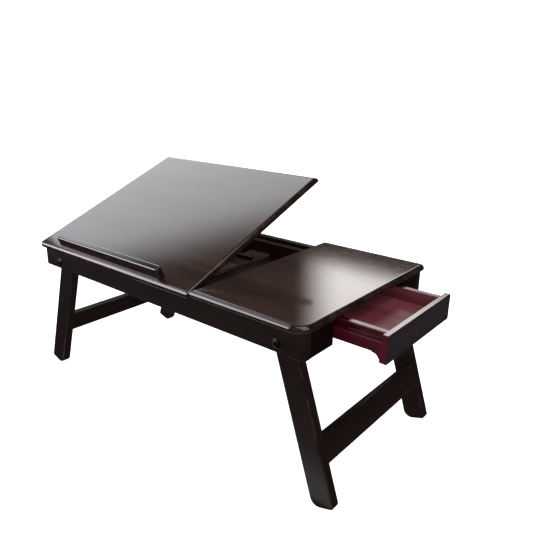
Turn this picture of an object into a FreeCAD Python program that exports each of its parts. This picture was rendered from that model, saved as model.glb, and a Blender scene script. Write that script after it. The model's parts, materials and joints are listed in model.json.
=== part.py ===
import FreeCAD, Part
import math
import os
from FreeCAD import Vector

# Folding lap table with a fixed panel, a tilting panel on a prop, a drawer and two folding leg
# frames. X runs along the table towards the drawer, Y from the user to the back, Z up.
# All lengths are in millimetres. The table is modelled standing, tilted and with the drawer out.
# Pieces that come in pairs are drawn at the back or at the right and then mirrored.

# overall
table_length = 540.0
table_depth = 310.0
table_height = 240.0
panel_thickness = 9.0
panel_gap = 1.5
fixed_panel_length = 182.0
fixed_front_corner_radius = 22.0
fixed_back_corner_radius = 8.0
tilting_corner_radius = 8.0
nosing_radius = 4.0
underside_bevel = 1.5            # round a panel's lower edges
gap_edge_chamfer = 0.8           # where the two panels meet

# general
softening = 1.0                  # small rounding of plain edges
drilling_fit = 0.05              # between a hole and the rod glued or pressed into it
cut_past = 1.0                   # how far a cutting tool reaches past the faces that it cuts
same_place = 0.01                # closer than this, two places are the same

# aprons and rails
side_overhang = 8.0
end_overhang = 4.0
apron_height = 35.0
apron_thickness = 12.0
end_rail_thickness = 12.0
edge_radius = 1.5
inner_rail_thickness = 12.0
inner_rail_clearance = 2.0       # between a folded leg and an inner rail
divider_thickness = 12.0
divider_overlap = 6.0            # how far the divider reaches under the tilting panel
floor_thickness = 3.0
floor_rabbet = 4.0
seat_clearance = 0.2             # between the closed tilting panel and the aprons

# leg frames
leg_width = 32.0
leg_thickness = 15.0
leg_splay = 18.0
leg_pivot_inset = 28.0           # from the inner face of the end rail
leg_pivot_drop = 23.5            # below the top of the aprons
foot_radius = 12.0
foot_chamfer = 3.0
leg_edge_chamfer = 1.0
stretcher_thickness = 12.0
stretcher_height = 36.0
stretcher_distance = 126.0       # from the pivot to the stretcher's upper edge
stretcher_clearance = 1.5        # between the folded stretcher and the inner rails
tenon_thickness = 5.0
tenon_length = 8.0
tenon_shoulder = 6.0
stop_clearance = 0.3
stop_bottom_gap = 2.0
stop_height = 16.0

# leg pivot hardware
leg_side_gap = 0.5               # between a leg and its apron
bolt_radius = 3.5
bolt_fit = 0.08                  # the leg turns on the bolt
bolt_head_radius = 6.5
bolt_rim_height = 0.6
bolt_dome_rise = 2.0
bolt_socket_width = 4.0
bolt_socket_depth = 1.7
bolt_end_inset = 0.5             # inside the nut's face
nut_width = 11.0
nut_thickness = 5.0
nut_recess_clearance = 1.05      # around the nut's corners
nut_recess_depth = 6.0
nut_seat_gap = 0.3               # lets the leg turn

# panel hinges
hinge_setback = 12.0             # from the table's front edge to the hinge axis
hinge_length = 30.0
hinge_spread = 130.0             # from the middle of the tilting panel to a hinge
leaf_width = 8.0
leaf_thickness = 1.0
knuckle_radius = 2.0
knuckle_count = 3
knuckle_clearance = 0.15
knuckle_pocket_clearance = 0.4
hinge_end_clearance = 0.3        # in the wood at the ends of the knuckles
hinge_pin_radius = 1.0
hinge_pin_fit = 0.06

# tilt, prop and racks
rest_tilt = 21.9
largest_tilt = 30.0
relief_margin = 3.0              # degrees, for the apron's relief below the tilted panel
relief_start = 0.6               # behind the hinge axis
prop_pivot_distance = 140.0      # from the hinge axis along the panel
prop_pivot_drop = 5.2            # below the panel's underside
prop_length = 92.0
prop_ratio = 2.945               # prop degrees per degree of tilt
prop_arm_width = 12.0
prop_arm_thickness = 8.0
prop_arm_offset = 56.0
prop_foot_radius = 3.0
prop_foot_overhang = 3.0         # of the foot bar past the racks
prop_rod_radius = 3.0
prop_rod_overhang = 3.0          # past the brackets
prop_rod_fit = 0.08
bracket_width = 8.0
bracket_base_length = 26.0
bracket_base_thickness = 2.0
bracket_gap = 3.0
bracket_lip = 2.0
rack_offset = 83.0
rack_width = 38.0
rack_clearance = 0.3
notch_pitch = 9.0
notch_depth = 2.6
notch_radius = 3.3
notch_slope = 35.0
notches_each_way = 3

# book ledge
ledge_length = 240.0
ledge_depth = 11.0
ledge_height = 18.0
ledge_setback = 7.0
ledge_edge_radius = 2.5

# drawer
drawer_width = 174.0
drawer_back_clearance = 10.0     # from the divider to the back of the closed drawer
drawer_out = 71.0
drawer_further = 40.0
drawer_front_thickness = 8.0
drawer_front_top_gap = 1.5
drawer_front_drop = 2.5          # below the aprons
drawer_front_edge_radius = 1.2
drawer_gap = 1.0                 # beside the drawer front
drawer_running_gap = 0.5
drawer_lift = 0.3                # above the bearers
drawer_side_thickness = 10.0
drawer_flange_width = 10.0
drawer_flange_height = 14.7
drawer_side_top_gap = 3.0
drawer_bottom_thickness = 3.0
drawer_bottom_rise = 2.0
drawer_bottom_groove = 4.0
drawer_back_thickness = 9.0
cove_lip_thickness = 1.6
cove_radius = 10.6
cove_ledge = 1.0
bearer_thickness = 6.0
bearer_reach = 5.0               # under the drawer side
guide_start_gap = 21.0           # from the divider to the drawer's guides
guide_stop_gap = 0.3
kicker_gap = 0.5
opening_stop_width = 30.0
opening_stop_length = 10.0
opening_stop_height = 5.5

# places worked out from the sizes above
half_length = table_length / 2
half_depth = table_depth / 2
frame_top = table_height - panel_thickness
frame_bottom = frame_top - apron_height
apron_out = half_depth - side_overhang
apron_in = apron_out - apron_thickness
rail_out = half_length - end_overhang
rail_in = rail_out - end_rail_thickness
gap_right = half_length - fixed_panel_length
gap_left = gap_right - panel_gap
tilting_middle = (gap_left - half_length) / 2
leg_out = apron_in - leg_side_gap
leg_in = leg_out - leg_thickness
nut_face = leg_in + nut_recess_depth - nut_thickness - nut_seat_gap
leg_pivot_x = rail_in - leg_pivot_inset
pivot_z = frame_top - leg_pivot_drop
splay = math.radians(leg_splay)
foot_offset = leg_width / 2 - foot_radius
foot_centre_fall = pivot_z - foot_radius
leg_length = foot_radius + (foot_centre_fall - foot_offset * math.sin(splay)) / math.cos(splay)
inner_rail_out = leg_in - inner_rail_clearance
inner_rail_in = inner_rail_out - inner_rail_thickness
inner_rail_bottom = pivot_z - leg_width / 2 + stretcher_thickness + stretcher_clearance
floor_top = inner_rail_bottom + floor_thickness
divider_left = gap_right - divider_overlap
divider_right = divider_left + divider_thickness
hinge_y = hinge_setback - half_depth
hinge_z = frame_top + seat_clearance / 2
closed_under = frame_top + seat_clearance
drawer_half = drawer_width / 2
drawer_bottom_z = inner_rail_bottom + drawer_lift
drawer_front_x = rail_out + drawer_out
drawer_length = rail_out - divider_right - drawer_back_clearance
drawer_back_x = drawer_front_x - drawer_length
guide_start = divider_right + guide_start_gap
drawer_front_back = drawer_front_x - drawer_front_thickness
drawer_wall_out = drawer_half - drawer_flange_width
drawer_wall_in = drawer_wall_out - drawer_side_thickness
flange_top = drawer_bottom_z + drawer_flange_height
side_top = frame_top - drawer_side_top_gap
bottom_under = drawer_bottom_z + drawer_bottom_rise
bottom_top = bottom_under + drawer_bottom_thickness
front_bottom = frame_bottom - drawer_front_drop
cove_back = drawer_front_back - cove_lip_thickness - cove_radius
bearer_end = cove_back - drawer_out - guide_stop_gap
foot_reach = leg_pivot_x + (leg_length - foot_chamfer) * math.sin(splay)
foot_reach = foot_reach + leg_width / 2 * math.cos(splay)
origin_x = (drawer_front_x - foot_reach) / 2    # middle of the overall box, on the floor

# the prop at rest, in the plane across the table
tilt = math.radians(rest_tilt)
prop_drop = prop_pivot_drop - seat_clearance / 2
prop_pivot_y = hinge_y + prop_pivot_distance * math.cos(tilt) + prop_drop * math.sin(tilt)
prop_pivot_z = hinge_z + prop_pivot_distance * math.sin(tilt) - prop_drop * math.cos(tilt)
prop_angle = (prop_ratio - 1) * rest_tilt
foot_y = prop_pivot_y + prop_length * math.cos(math.radians(prop_angle))
foot_z = prop_pivot_z - prop_length * math.sin(math.radians(prop_angle))
rack_top = foot_z - prop_foot_radius - rack_clearance
prop_foot_half_length = rack_offset + rack_width / 2 + prop_foot_overhang
bracket_offset = prop_arm_offset + prop_arm_width / 2 + bracket_gap + bracket_width / 2
prop_rod_half_length = bracket_offset + bracket_width / 2 + prop_rod_overhang

along_x, along_y = Vector(1, 0, 0), Vector(0, 1, 0)


def block(x, y, z):
    """A box from three pairs of limits."""
    return Part.makeBox(x[1] - x[0], y[1] - y[0], z[1] - z[0], Vector(x[0], y[0], z[0]))


def rod(radius, start, direction, length):
    return Part.makeCylinder(radius, length, start, direction)


def drilled(shape, radius, start, direction, length):
    """Drill right through a piece, from the face at the start to the opposite one."""
    return shape.cut(rod(radius, start - direction * cut_past, direction, length + 2 * cut_past))


def prism(points, direction):
    """Extrude a closed outline of points along a vector."""
    return Part.Face(Part.makePolygon(points + points[:1])).extrude(direction)


def quarter_arc(centre, radius, start_degrees):
    """Three points of a quarter circle in the plane of X and Z, turning anticlockwise."""
    angles = [math.radians(start_degrees + step) for step in (0, 45, 90)]
    return [centre + Vector(radius * math.cos(a), 0, radius * math.sin(a)) for a in angles]


def straight_edges(points):
    """Straight edges from each point to the next."""
    return [Part.LineSegment(a, b).toShape() for a, b in zip(points, points[1:])]


def round_edges(shape, radius, wanted):
    """Round the straight or curved edges whose middle point passes the test."""
    return shape.makeFillet(radius, [edge for edge in shape.Edges if wanted(edge.CenterOfMass)])


def bevel_edges(shape, size, wanted):
    return shape.makeChamfer(size, [edge for edge in shape.Edges if wanted(edge.CenterOfMass)])


def near(value, target):
    return abs(value - target) < same_place


def mirror_depth(shape):
    """The same piece on the other side, front to back."""
    return shape.mirror(Vector(0, 0, 0), along_y)


def mirror_length(shape):
    """The same piece at the other end of the table."""
    return shape.mirror(Vector(0, 0, 0), along_x)


def tilted(shape):
    """Turn a piece of the closed panel up to the rest pose."""
    turned = shape.copy()
    turned.rotate(Vector(0, hinge_y, hinge_z), along_x, rest_tilt)
    return turned


def save(name, shape):
    """Write one piece, with the table's origin moved to the middle of the overall box."""
    placed = shape.copy()
    placed.translate(Vector(-origin_x, 0, 0))
    placed.exportStep("parts/" + name + ".step")


# ---- aprons, rails and compartments ----

def hinge_places():
    return [tilting_middle - hinge_spread, tilting_middle + hinge_spread]


def back_apron():
    """A long board with its outer edge rounded and a hole for each leg bolt."""
    board = block((-rail_out, rail_out), (apron_in, apron_out), (frame_bottom, frame_top))
    board = round_edges(board, edge_radius, lambda c: near(c.y, apron_out) and near(c.z, frame_bottom))
    for x in (leg_pivot_x, -leg_pivot_x):
        start = Vector(x, apron_in, pivot_z)
        board = drilled(board, bolt_radius + drilling_fit, start, along_y, apron_thickness)
    return board


def front_apron():
    """The front apron is eased below the tilting panel and let in for the hinges."""
    board = mirror_depth(back_apron())
    inside, outside = hinge_y + relief_start, -apron_out - cut_past
    fall = (inside - outside) * math.tan(math.radians(largest_tilt + relief_margin))
    left, right = -rail_out - cut_past, gap_right
    corner = [Vector(left, inside, frame_top), Vector(left, outside, frame_top + cut_past),
              Vector(left, outside, frame_top - fall)]
    board = board.cut(prism(corner, Vector(right - left, 0, 0)))
    pocket = knuckle_radius + knuckle_pocket_clearance
    over = frame_top + cut_past
    for x in hinge_places():
        half = hinge_length / 2
        board = board.cut(block((x - half, x + half), (hinge_y, hinge_y + leaf_width),
                                (frame_top - leaf_thickness, over)))
        half = half + hinge_end_clearance
        board = board.cut(block((x - half, x + half), (outside, hinge_y + pocket), (hinge_z - pocket, over)))
    return board


def left_end_rail():
    board = block((-rail_out, -rail_in), (-apron_in, apron_in), (frame_bottom, frame_top))
    return round_edges(board, edge_radius, lambda c: near(c.x, -rail_out) and near(c.z, frame_bottom))


def right_end_rail_back():
    """The short rail behind the drawer opening."""
    y = (drawer_half + drawer_gap, apron_in)
    board = block((rail_in, rail_out), y, (frame_bottom, frame_top))
    return round_edges(board, edge_radius, lambda c: near(c.x, rail_out) and near(c.z, frame_bottom))


def back_inner_rail():
    """Long rail inside the legs, with a rabbet for the compartment floor."""
    rail = block((-rail_in, rail_in), (inner_rail_in, inner_rail_out), (inner_rail_bottom, frame_top))
    rabbet = block((-rail_in, divider_right), (inner_rail_in, inner_rail_in + floor_rabbet),
                   (inner_rail_bottom, floor_top))
    return rail.cut(rabbet)


def compartment_divider():
    y = (-inner_rail_in, inner_rail_in)
    return block((divider_left, divider_right), y, (floor_top, frame_top))


def compartment_floor():
    y = inner_rail_in + floor_rabbet
    return block((-rail_in, divider_right), (-y, y), (inner_rail_bottom, floor_top))


def right_back_leg_stop():
    """A slant-faced block that the open leg leans on."""
    low = frame_bottom + stop_bottom_gap
    high = low + stop_height
    reach = leg_pivot_x + (leg_width / 2 + stop_clearance) / math.cos(splay)
    outline = [Vector(reach + (pivot_z - low) * math.tan(splay), leg_in, low),
               Vector(rail_in, leg_in, low), Vector(rail_in, leg_in, high),
               Vector(reach + (pivot_z - high) * math.tan(splay), leg_in, high)]
    return prism(outline, Vector(0, apron_in - leg_in, 0))


def at_all_corners(piece):
    """One piece at the back right and its mirrored copies at the other three corners."""
    right = [piece, mirror_depth(piece)]
    return Part.makeCompound(right + [mirror_length(shape) for shape in right])


# ---- table top panels ----

def nosed_board(x, front_radius, back_radius, rounded_x, plain_x):
    """A panel blank with one end's corners rounded in plan and a nosing round its outer edges."""
    board = block(x, (-half_depth, half_depth), (frame_top, table_height))
    for radius, y in ((front_radius, -half_depth), (back_radius, half_depth)):
        board = round_edges(board, radius, lambda c: near(c.x, rounded_x) and near(c.y, y))
    board = bevel_edges(board, gap_edge_chamfer,
                        lambda c: near(c.x, plain_x) and (near(c.z, frame_top) or near(c.z, table_height)))
    def is_outer(c):
        return abs(c.x - plain_x) > gap_edge_chamfer + same_place
    board = round_edges(board, nosing_radius, lambda c: near(c.z, table_height) and is_outer(c))
    return bevel_edges(board, underside_bevel, lambda c: near(c.z, frame_top) and is_outer(c))


def fixed_top_panel():
    return nosed_board((gap_right, half_length), fixed_front_corner_radius, fixed_back_corner_radius,
                       half_length, gap_right)


def tilting_top_panel():
    """The wider panel, let in underneath for the hinges."""
    board = nosed_board((-half_length, gap_left), tilting_corner_radius, tilting_corner_radius,
                        -half_length, gap_left)
    board.translate(Vector(0, 0, seat_clearance))
    pocket = knuckle_radius + knuckle_pocket_clearance
    for x in hinge_places():
        half = hinge_length / 2
        board = board.cut(block((x - half, x + half), (hinge_y, hinge_y + leaf_width),
                                (closed_under - cut_past, closed_under + leaf_thickness)))
        half = half + hinge_end_clearance
        board = board.cut(rod(pocket, Vector(x - half, hinge_y, hinge_z), along_x, 2 * half))
    return tilted(board)


def book_ledge():
    """A bar along the tilting panel's front that keeps a book from sliding off."""
    bottom = closed_under + panel_thickness
    top = bottom + ledge_height
    x = (tilting_middle - ledge_length / 2, tilting_middle + ledge_length / 2)
    front = ledge_setback - half_depth
    ledge = block(x, (front, front + ledge_depth), (bottom, top))
    ledge = round_edges(ledge, ledge_edge_radius, lambda c: near(c.z, top) and near(c.x, tilting_middle))
    return tilted(bevel_edges(ledge, softening, lambda c: near(abs(c.x - tilting_middle), ledge_length / 2)
                              and not near(c.z, bottom)))


# ---- hinges of the tilting panel ----

def hinge_leaf(x, up):
    """One leaf with its knuckles. The frame's leaf lies below the axis, the panel's above."""
    left = x - hinge_length / 2
    step = hinge_length / knuckle_count
    inside, outside = seat_clearance / 2, seat_clearance / 2 + leaf_thickness
    z = (hinge_z + inside, hinge_z + outside) if up else (hinge_z - outside, hinge_z - inside)
    leaf = block((left, left + hinge_length), (hinge_y, hinge_y + leaf_width), z)
    starts = [left + number * step for number in range(knuckle_count)]
    own, other = (starts[1::2], starts[::2]) if up else (starts[::2], starts[1::2])
    room_y = (hinge_y - cut_past, hinge_y + knuckle_radius + knuckle_pocket_clearance)
    for start in other:
        room = block((start - knuckle_clearance, start + step + knuckle_clearance), room_y, z)
        leaf = leaf.cut(room)
    for start in own:
        low = start if near(start, left) else start + knuckle_clearance
        high = start + step if near(start, starts[-1]) else start + step - knuckle_clearance
        leaf = leaf.fuse(rod(knuckle_radius, Vector(low, hinge_y, hinge_z), along_x, high - low))
    start = Vector(left, hinge_y, hinge_z)
    return drilled(leaf, hinge_pin_radius + hinge_pin_fit, start, along_x, hinge_length).removeSplitter()


def hinge_frame_leaves():
    return Part.makeCompound([hinge_leaf(x, False) for x in hinge_places()])


def hinge_panel_leaves():
    return tilted(Part.makeCompound([hinge_leaf(x, True) for x in hinge_places()]))


def hinge_pins():
    starts = [Vector(x - hinge_length / 2, hinge_y, hinge_z) for x in hinge_places()]
    return Part.makeCompound([rod(hinge_pin_radius, start, along_x, hinge_length) for start in starts])


# ---- prop ----

def prop_bracket(side):
    """A saddle under the panel that carries one end of the prop's rod."""
    x = tilting_middle + side * bracket_offset
    sides = (x - bracket_width / 2, x + bracket_width / 2)
    y = hinge_y + prop_pivot_distance
    half = bracket_base_length / 2
    base_under = closed_under - bracket_base_thickness
    base = block(sides, (y - half, y + half), (base_under, closed_under))
    base = bevel_edges(base, softening, lambda c: near(c.z, base_under) and near(abs(c.y - y), half))
    radius = prop_rod_radius + bracket_lip
    axis = Vector(sides[0], y, closed_under - prop_pivot_drop)
    web = block(sides, (y - radius, y + radius), (axis.z, base_under))
    bracket = base.fuse([web, rod(radius, axis, along_x, bracket_width)]).removeSplitter()
    return drilled(bracket, prop_rod_radius + prop_rod_fit, axis, along_x, bracket_width)


def prop_brackets():
    return tilted(Part.makeCompound([prop_bracket(-1), prop_bracket(1)]))


def prop_place(shape):
    """Lean a piece of the prop, drawn along +Y from its pivot, to the rest pose."""
    leant = shape.copy()
    leant.rotate(Vector(0, 0, 0), along_x, -prop_angle)
    leant.translate(Vector(tilting_middle, prop_pivot_y, prop_pivot_z))
    return leant


def prop_arm(side):
    """A round-ended bar with a hole at each end for the prop's two rods."""
    left = side * prop_arm_offset - prop_arm_width / 2
    half = prop_arm_thickness / 2
    arm = block((left, left + prop_arm_width), (0, prop_length), (-half, half))
    ends = [Vector(left, 0, 0), Vector(left, prop_length, 0)]
    arm = arm.fuse([rod(half, end, along_x, prop_arm_width) for end in ends]).removeSplitter()
    for end, radius in zip(ends, (prop_rod_radius, prop_foot_radius)):
        arm = drilled(arm, radius + drilling_fit, end, along_x, prop_arm_width)
    return prop_place(arm)


def prop_foot_bar():
    start = Vector(-prop_foot_half_length, prop_length, 0)
    return prop_place(rod(prop_foot_radius, start, along_x, 2 * prop_foot_half_length))


def prop_pivot_rod():
    start = Vector(-prop_rod_half_length, 0, 0)
    return prop_place(rod(prop_rod_radius, start, along_x, 2 * prop_rod_half_length))


def notch_cutter(x, y):
    """One notch across a rack: a steep wall at the back, a round floor and a ramp at the front."""
    slope = math.radians(notch_slope)
    centre_z = rack_top - notch_depth + notch_radius
    top = centre_z + cut_past
    back = Vector(x[0], y + notch_radius, centre_z)
    high_back = Vector(x[0], y + notch_radius, top)
    low = Vector(x[0], y, centre_z - notch_radius)
    tangent = Vector(x[0], y - notch_radius * math.sin(slope), centre_z - notch_radius * math.cos(slope))
    high_front = Vector(x[0], tangent.y - (top - tangent.z) / math.tan(slope), top)
    edges = straight_edges([tangent, high_front, high_back, back]) + [Part.Arc(back, low, tangent).toShape()]
    return Part.Face(Part.Wire(edges)).extrude(Vector(x[1] - x[0], 0, 0))


def tilt_rack(side):
    """A board across the compartment, notched where the prop's foot can stand."""
    middle = tilting_middle + side * rack_offset
    x = (middle - rack_width / 2, middle + rack_width / 2)
    rack = block(x, (-inner_rail_in, inner_rail_in), (floor_top, rack_top))
    for number in range(-notches_each_way, notches_each_way + 1):
        rack = rack.cut(notch_cutter(x, foot_y + number * notch_pitch))
    return rack


# ---- drawer and its guides ----

def back_drawer_spacer():
    """Fills the space between an inner rail and the drawer."""
    y = (drawer_half + drawer_running_gap, inner_rail_in)
    return block((guide_start, rail_in), y, (inner_rail_bottom, frame_top))


def back_drawer_bearer():
    """The strip that a drawer side slides on."""
    inner_y, under = drawer_half - bearer_reach, inner_rail_bottom - bearer_thickness
    strip = block((guide_start, bearer_end), (inner_y, inner_rail_out), (under, inner_rail_bottom))
    return round_edges(strip, softening, lambda c: near(c.y, inner_y) and near(c.z, under))


def back_drawer_kicker():
    """The strip above the side's flange that stops the open drawer tipping."""
    y = (drawer_wall_out + drawer_running_gap, drawer_half + drawer_running_gap)
    return block((guide_start, rail_in), y, (flange_top + kicker_gap, frame_top))


def drawer_opening_stop():
    """A block under the fixed panel that the back of the open drawer meets."""
    left = drawer_back_x + drawer_further + drawer_back_thickness + guide_stop_gap
    return block((left, left + opening_stop_length), (-opening_stop_width / 2, opening_stop_width / 2),
                 (frame_top - opening_stop_height, frame_top))


def drawer_front():
    board = block((drawer_front_back, drawer_front_x), (-drawer_half, drawer_half),
                  (front_bottom, frame_top - drawer_front_top_gap))
    return round_edges(board, drawer_front_edge_radius, lambda c: near(c.x, drawer_front_x))


def back_drawer_side():
    """A stepped side: a thin wall over a flange that runs in the guides."""
    x = (drawer_back_x, drawer_front_back)
    wall = block(x, (drawer_wall_in, drawer_wall_out), (drawer_bottom_z, side_top))
    flange = block(x, (drawer_wall_in, drawer_half), (drawer_bottom_z, flange_top))
    side = wall.fuse(flange).removeSplitter()
    middle = (x[0] + x[1]) / 2
    side = round_edges(side, softening, lambda c: near(c.x, middle)
                       and (near(c.z, side_top) or near(c.y, drawer_half)))
    groove = block(x, (drawer_wall_in, drawer_wall_in + drawer_bottom_groove), (bottom_under, bottom_top))
    return side.cut(groove)


def drawer_bottom():
    y = drawer_wall_in + drawer_bottom_groove
    return block((drawer_back_x, drawer_front_back), (-y, y), (bottom_under, bottom_top))


def drawer_back():
    board = block((drawer_back_x, drawer_back_x + drawer_back_thickness), (-drawer_wall_in, drawer_wall_in),
                  (bottom_top, side_top))
    return round_edges(board, softening, lambda c: near(c.z, side_top) and near(c.y, 0))


def drawer_cove():
    """The hollow moulding behind the front's lower lip that the fingers pull on."""
    lip_bottom = drawer_bottom_z - cove_ledge - cove_radius
    low, middle, high = quarter_arc(Vector(cove_back, -drawer_half, lip_bottom), cove_radius, 0)
    outline = [high, Vector(cove_back, -drawer_half, drawer_bottom_z),
               Vector(drawer_front_back, -drawer_half, drawer_bottom_z),
               Vector(drawer_front_back, -drawer_half, lip_bottom), low]
    edges = straight_edges(outline) + [Part.Arc(low, middle, high).toShape()]
    return Part.Face(Part.Wire(edges)).extrude(Vector(0, drawer_width, 0))


# ---- leg frames, drawn at the right ----

def leg_outline(y):
    """A leg's face, hanging from its pivot at the origin, with the outer edge at +X."""
    half = leg_width / 2
    right, crown_right, top = quarter_arc(Vector(0, y, 0), half, 0)
    top, crown_left, left = quarter_arc(Vector(0, y, 0), half, 90)
    inner_foot, heel_middle, heel = quarter_arc(Vector(foot_radius - half, y, foot_radius - leg_length),
                                                foot_radius, 180)
    toe_low = Vector(half - foot_chamfer, y, -leg_length)
    toe_high = Vector(half, y, foot_chamfer - leg_length)
    edges = straight_edges([left, inner_foot]) + straight_edges([heel, toe_low, toe_high, right])
    arcs = [(right, crown_right, top), (top, crown_left, left), (inner_foot, heel_middle, heel)]
    edges = edges + [Part.Arc(*points).toShape() for points in arcs]
    return Part.Face(Part.Wire(Part.__sortEdges__(edges)))


def stand(shape):
    """Lean a leg piece out to its splay and move it to its pivot."""
    leant = shape.copy()
    leant.rotate(Vector(0, 0, 0), along_y, -leg_splay)
    leant.translate(Vector(leg_pivot_x, 0, pivot_z))
    return leant


def tenon_block():
    """The stretcher's tenons, taken right through between both legs."""
    outer = leg_width / 2 - (stretcher_thickness - tenon_thickness) / 2
    reach = leg_in + tenon_length
    top = -stretcher_distance - tenon_shoulder
    height = stretcher_height - 2 * tenon_shoulder
    return block((outer - tenon_thickness, outer), (-reach, reach), (top - height, top))


def right_back_leg():
    """A leg with its bolt hole, the recess for the nut and the mortise for the stretcher."""
    leg = leg_outline(leg_in).extrude(along_y * leg_thickness)
    leg = bevel_edges(leg, leg_edge_chamfer, lambda c: near(c.y, leg_out))
    start = Vector(0, leg_in, 0)
    leg = drilled(leg, bolt_radius + bolt_fit, start, along_y, leg_thickness)
    recess_radius = nut_width / math.sqrt(3) + nut_recess_clearance
    leg = leg.cut(rod(recess_radius, start, along_y, nut_recess_depth))
    return stand(leg.cut(tenon_block()))


def right_leg_stretcher():
    half = leg_width / 2
    board = block((half - stretcher_thickness, half), (-leg_in, leg_in),
                  (-stretcher_distance - stretcher_height, -stretcher_distance))
    board = bevel_edges(board, leg_edge_chamfer, lambda c: near(c.y, 0))
    return stand(board.fuse(tenon_block()).removeSplitter())


# ---- leg pivot hardware, drawn round the Y axis at the back ----

def hexagon(width, start_y, length):
    """A hexagonal bar along +Y, as wide across its flats as given."""
    radius = width / math.sqrt(3)
    angles = [math.radians(turn) for turn in range(0, 360, 60)]
    corners = [Vector(radius * math.cos(a), start_y, radius * math.sin(a)) for a in angles]
    return prism(corners, Vector(0, length, 0))


def pivot_bolt():
    """A bolt with a domed head and a hexagon socket."""
    head_top = apron_out + bolt_rim_height + bolt_dome_rise
    dome_radius = (bolt_head_radius ** 2 + bolt_dome_rise ** 2) / (2 * bolt_dome_rise)
    head = rod(bolt_head_radius, Vector(0, apron_out, 0), along_y, head_top - apron_out)
    head = head.common(Part.makeSphere(dome_radius, Vector(0, head_top - dome_radius, 0)))
    head = head.cut(hexagon(bolt_socket_width, head_top - bolt_socket_depth, bolt_socket_depth + cut_past))
    start = nut_face + bolt_end_inset
    shank = rod(bolt_radius, Vector(0, start, 0), along_y, apron_out - start)
    return head.fuse(shank).removeSplitter()


def pivot_nut():
    nut = hexagon(nut_width, nut_face, nut_thickness)
    return drilled(nut, bolt_radius + drilling_fit, Vector(0, nut_face, 0), along_y, nut_thickness)


def at_all_pivots(piece):
    """Copies of one piece of hardware at the four leg pivots."""
    placed = piece.copy()
    placed.translate(Vector(leg_pivot_x, 0, pivot_z))
    return at_all_corners(placed)


# ---- the whole table ----

def single_pieces():
    """The pieces that there is one of, and the groups of small ones, by name."""
    return {
        "front_apron": front_apron(), "back_apron": back_apron(), "left_end_rail": left_end_rail(),
        "compartment_divider": compartment_divider(), "compartment_floor": compartment_floor(),
        "left_tilt_rack": tilt_rack(-1), "right_tilt_rack": tilt_rack(1),
        "leg_stops": at_all_corners(right_back_leg_stop()), "drawer_opening_stop": drawer_opening_stop(),
        "fixed_top_panel": fixed_top_panel(), "tilting_top_panel": tilting_top_panel(),
        "book_ledge": book_ledge(), "hinge_frame_leaves": hinge_frame_leaves(),
        "hinge_panel_leaves": hinge_panel_leaves(), "hinge_pins": hinge_pins(),
        "prop_brackets": prop_brackets(), "left_prop_arm": prop_arm(-1), "right_prop_arm": prop_arm(1),
        "prop_foot_bar": prop_foot_bar(), "prop_pivot_rod": prop_pivot_rod(),
        "drawer_front": drawer_front(), "drawer_back": drawer_back(), "drawer_bottom": drawer_bottom(),
        "drawer_cove": drawer_cove(), "pivot_bolts": at_all_pivots(pivot_bolt()),
        "pivot_nuts": at_all_pivots(pivot_nut()),
    }


def front_and_back_pieces():
    """Pairs that differ only by being mirrored front to back."""
    back = {"right_end_rail_back": right_end_rail_back(), "back_inner_rail": back_inner_rail(),
            "back_drawer_spacer": back_drawer_spacer(), "back_drawer_bearer": back_drawer_bearer(),
            "back_drawer_kicker": back_drawer_kicker(), "back_drawer_side": back_drawer_side()}
    front = {name.replace("back", "front"): mirror_depth(shape) for name, shape in back.items()}
    return {**back, **front}


def leg_frame_pieces():
    """Both leg frames, the left one mirrored from the right one."""
    right = {"back_leg": right_back_leg(), "leg_stretcher": right_leg_stretcher()}
    right["front_leg"] = mirror_depth(right["back_leg"])
    pieces = {"right_" + name: shape for name, shape in right.items()}
    pieces.update({"left_" + name: mirror_length(shape) for name, shape in right.items()})
    return pieces


os.makedirs("parts", exist_ok=True)
for pieces in (single_pieces(), front_and_back_pieces(), leg_frame_pieces()):
    for piece_name, piece_shape in pieces.items():
        save(piece_name, piece_shape)
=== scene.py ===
import json
import math

import bpy
import numpy as np
from mathutils import Euler, Matrix, Vector


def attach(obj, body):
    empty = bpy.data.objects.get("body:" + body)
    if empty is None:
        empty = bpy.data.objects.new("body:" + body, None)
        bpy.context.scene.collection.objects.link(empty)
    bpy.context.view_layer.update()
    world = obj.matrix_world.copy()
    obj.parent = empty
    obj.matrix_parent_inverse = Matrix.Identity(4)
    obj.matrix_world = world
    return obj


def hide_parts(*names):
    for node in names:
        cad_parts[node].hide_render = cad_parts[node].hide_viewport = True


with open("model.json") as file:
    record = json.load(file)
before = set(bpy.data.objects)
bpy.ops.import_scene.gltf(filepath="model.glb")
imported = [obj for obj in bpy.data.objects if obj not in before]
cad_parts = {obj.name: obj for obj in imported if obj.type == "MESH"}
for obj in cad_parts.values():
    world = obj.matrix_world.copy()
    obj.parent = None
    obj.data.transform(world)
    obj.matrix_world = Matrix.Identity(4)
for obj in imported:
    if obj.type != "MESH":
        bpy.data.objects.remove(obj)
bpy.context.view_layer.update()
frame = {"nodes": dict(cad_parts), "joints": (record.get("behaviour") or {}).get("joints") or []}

scene = bpy.context.scene
joints = {joint["name"]: joint for joint in frame["joints"]}
print("frame loaded:", len(frame["nodes"]), "nodes")

# camera: a matrix from its place and three turns, looking down its own -Z

cameraLook = dict(place=(0.57249, -0.61014, 0.49931), yaw=0.683936, pitch=0.324908,
                  roll=0.015597, lens=37.932, sensor=36.0)

def makeCamera(look):
    data = bpy.data.cameras.new("tableCamera")
    data.lens, data.sensor_width = look["lens"], look["sensor"]
    camera = bpy.data.objects.new("tableCamera", data)
    scene.collection.objects.link(camera)
    turn = Euler((math.pi / 2 - look["pitch"], 0, look["yaw"]), "XYZ").to_matrix()
    turn = turn @ Matrix.Rotation(look["roll"], 3, "Z")
    camera.matrix_world = Matrix.Translation(look["place"]) @ turn.to_4x4()
    scene.camera = camera

makeCamera(cameraLook)
print("camera set")

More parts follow.
